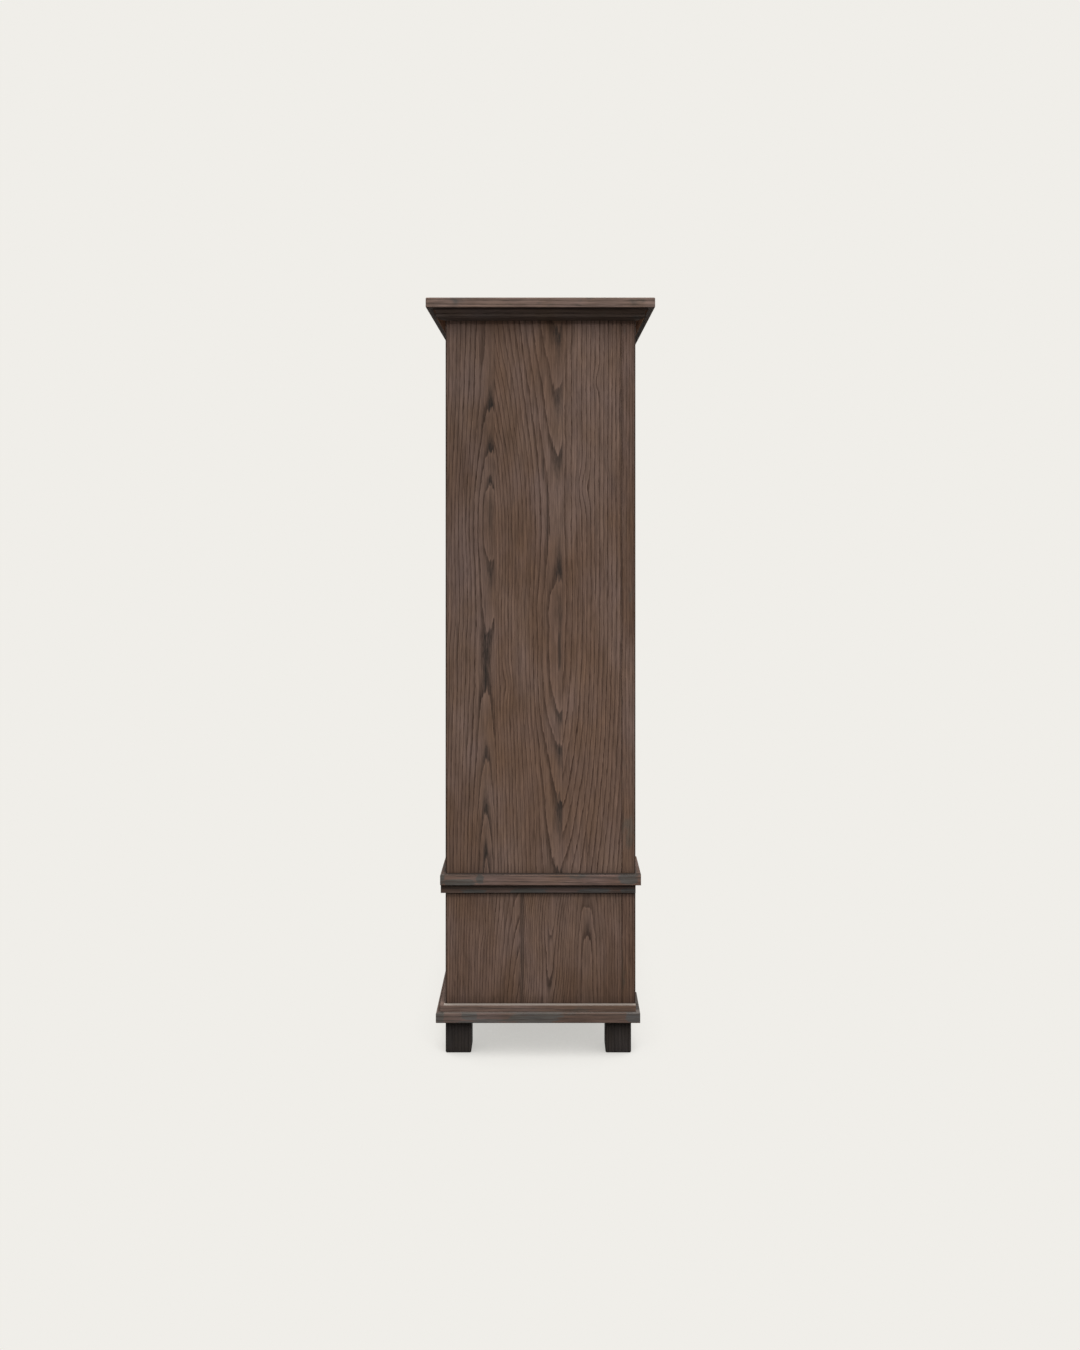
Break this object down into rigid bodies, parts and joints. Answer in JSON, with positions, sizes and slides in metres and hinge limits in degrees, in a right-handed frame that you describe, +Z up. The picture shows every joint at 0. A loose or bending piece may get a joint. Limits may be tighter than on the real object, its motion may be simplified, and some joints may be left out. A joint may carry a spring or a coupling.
{
  "type": "tall cabinet",
  "caption": "Tall wooden linen press: paired panelled doors over shelves, side-by-side drawers below a moulded waist, projecting crown board, moulded base and block feet.",
  "frame": {"origin": "on the floor, under the middle of the crown board", "axes": "+Z up; +X along the front towards the right-hand side as seen from the front; -Y is the front, +Y the back"},
  "size_m": [1.182, 0.634, 2.108],
  "materials": {
    "stained_ash": "dark brown stained open-grain ash, satin oil",
    "inner_ash": "thin brown stain on ash, matt",
    "dark_foot": "near-black stain, satin",
    "knob_brass": "aged brass, satin",
    "hinge_brass": "aged brass, satin",
    "catch_metal": "black lacquer"
  },
  "bodies": {
    "cabinet": {"base_board_frame": "stained_ash", "base_panel": "inner_ash", "base_step_moulding": "stained_ash", "crown_board": "stained_ash", "crown_moulding_back": "stained_ash", "crown_moulding_front": "stained_ash", "crown_moulding_left": "stained_ash", "crown_moulding_right": "stained_ash", "door_catch": "catch_metal", "drawer_divider": "inner_ash", "drawer_runner_left": "inner_ash", "drawer_runner_right": "inner_ash", "foot_front_left": "dark_foot", "foot_front_right": "dark_foot", "foot_rear_left": "dark_foot", "foot_rear_right": "dark_foot", "left_hinge_1_fixed_leaf": "hinge_brass", "left_hinge_2_fixed_leaf": "hinge_brass", "left_hinge_3_fixed_leaf": "hinge_brass", "lower_back_boards": "inner_ash", "lower_face_frame": "stained_ash", "lower_rear_stile_left": "stained_ash", "lower_rear_stile_right": "stained_ash", "lower_side_left": "stained_ash", "lower_side_right": "stained_ash", "right_hinge_1_fixed_leaf": "hinge_brass", "right_hinge_2_fixed_leaf": "hinge_brass", "right_hinge_3_fixed_leaf": "hinge_brass", "shelf_1": "inner_ash", "shelf_2": "inner_ash", "shelf_3": "inner_ash", "upper_back_boards": "inner_ash", "upper_face_frame": "stained_ash", "upper_rear_stile_left": "stained_ash", "upper_rear_stile_right": "stained_ash", "upper_side_left": "stained_ash", "upper_side_right": "stained_ash", "waist_bed_moulding": "stained_ash", "waist_board_frame": "stained_ash", "waist_panel": "inner_ash"},
    "left_door": {"left_door_frame": "stained_ash", "left_door_knob": "knob_brass", "left_door_panel_lower": "stained_ash", "left_door_panel_upper": "stained_ash", "left_hinge_1_door_leaf": "hinge_brass", "left_hinge_2_door_leaf": "hinge_brass", "left_hinge_3_door_leaf": "hinge_brass"},
    "right_door": {"right_door_frame": "stained_ash", "right_door_knob": "knob_brass", "right_door_panel_lower": "stained_ash", "right_door_panel_upper": "stained_ash", "right_hinge_1_door_leaf": "hinge_brass", "right_hinge_2_door_leaf": "hinge_brass", "right_hinge_3_door_leaf": "hinge_brass"},
    "left_drawer": {"left_drawer_box": "inner_ash", "left_drawer_front": "stained_ash", "left_drawer_knob": "knob_brass"},
    "right_drawer": {"right_drawer_box": "inner_ash", "right_drawer_front": "stained_ash", "right_drawer_knob": "knob_brass"}
  },
  "joints": [
    {"name": "left_door_hinge", "type": "hinge", "parent": "cabinet", "child": "left_door", "pos_m": [-0.469, -0.267, 1.2547], "axis": [0, 0, -1], "range_deg": [0, 175]},
    {"name": "right_door_hinge", "type": "hinge", "parent": "cabinet", "child": "right_door", "pos_m": [0.469, -0.267, 1.2547], "axis": [0, 0, 1], "range_deg": [0, 175]},
    {"name": "left_drawer_slide", "type": "slide", "parent": "cabinet", "child": "left_drawer", "axis": [0, -1, 0], "range_m": [0, 0.34]},
    {"name": "right_drawer_slide", "type": "slide", "parent": "cabinet", "child": "right_drawer", "axis": [0, -1, 0], "range_m": [0, 0.34]}
  ]
}
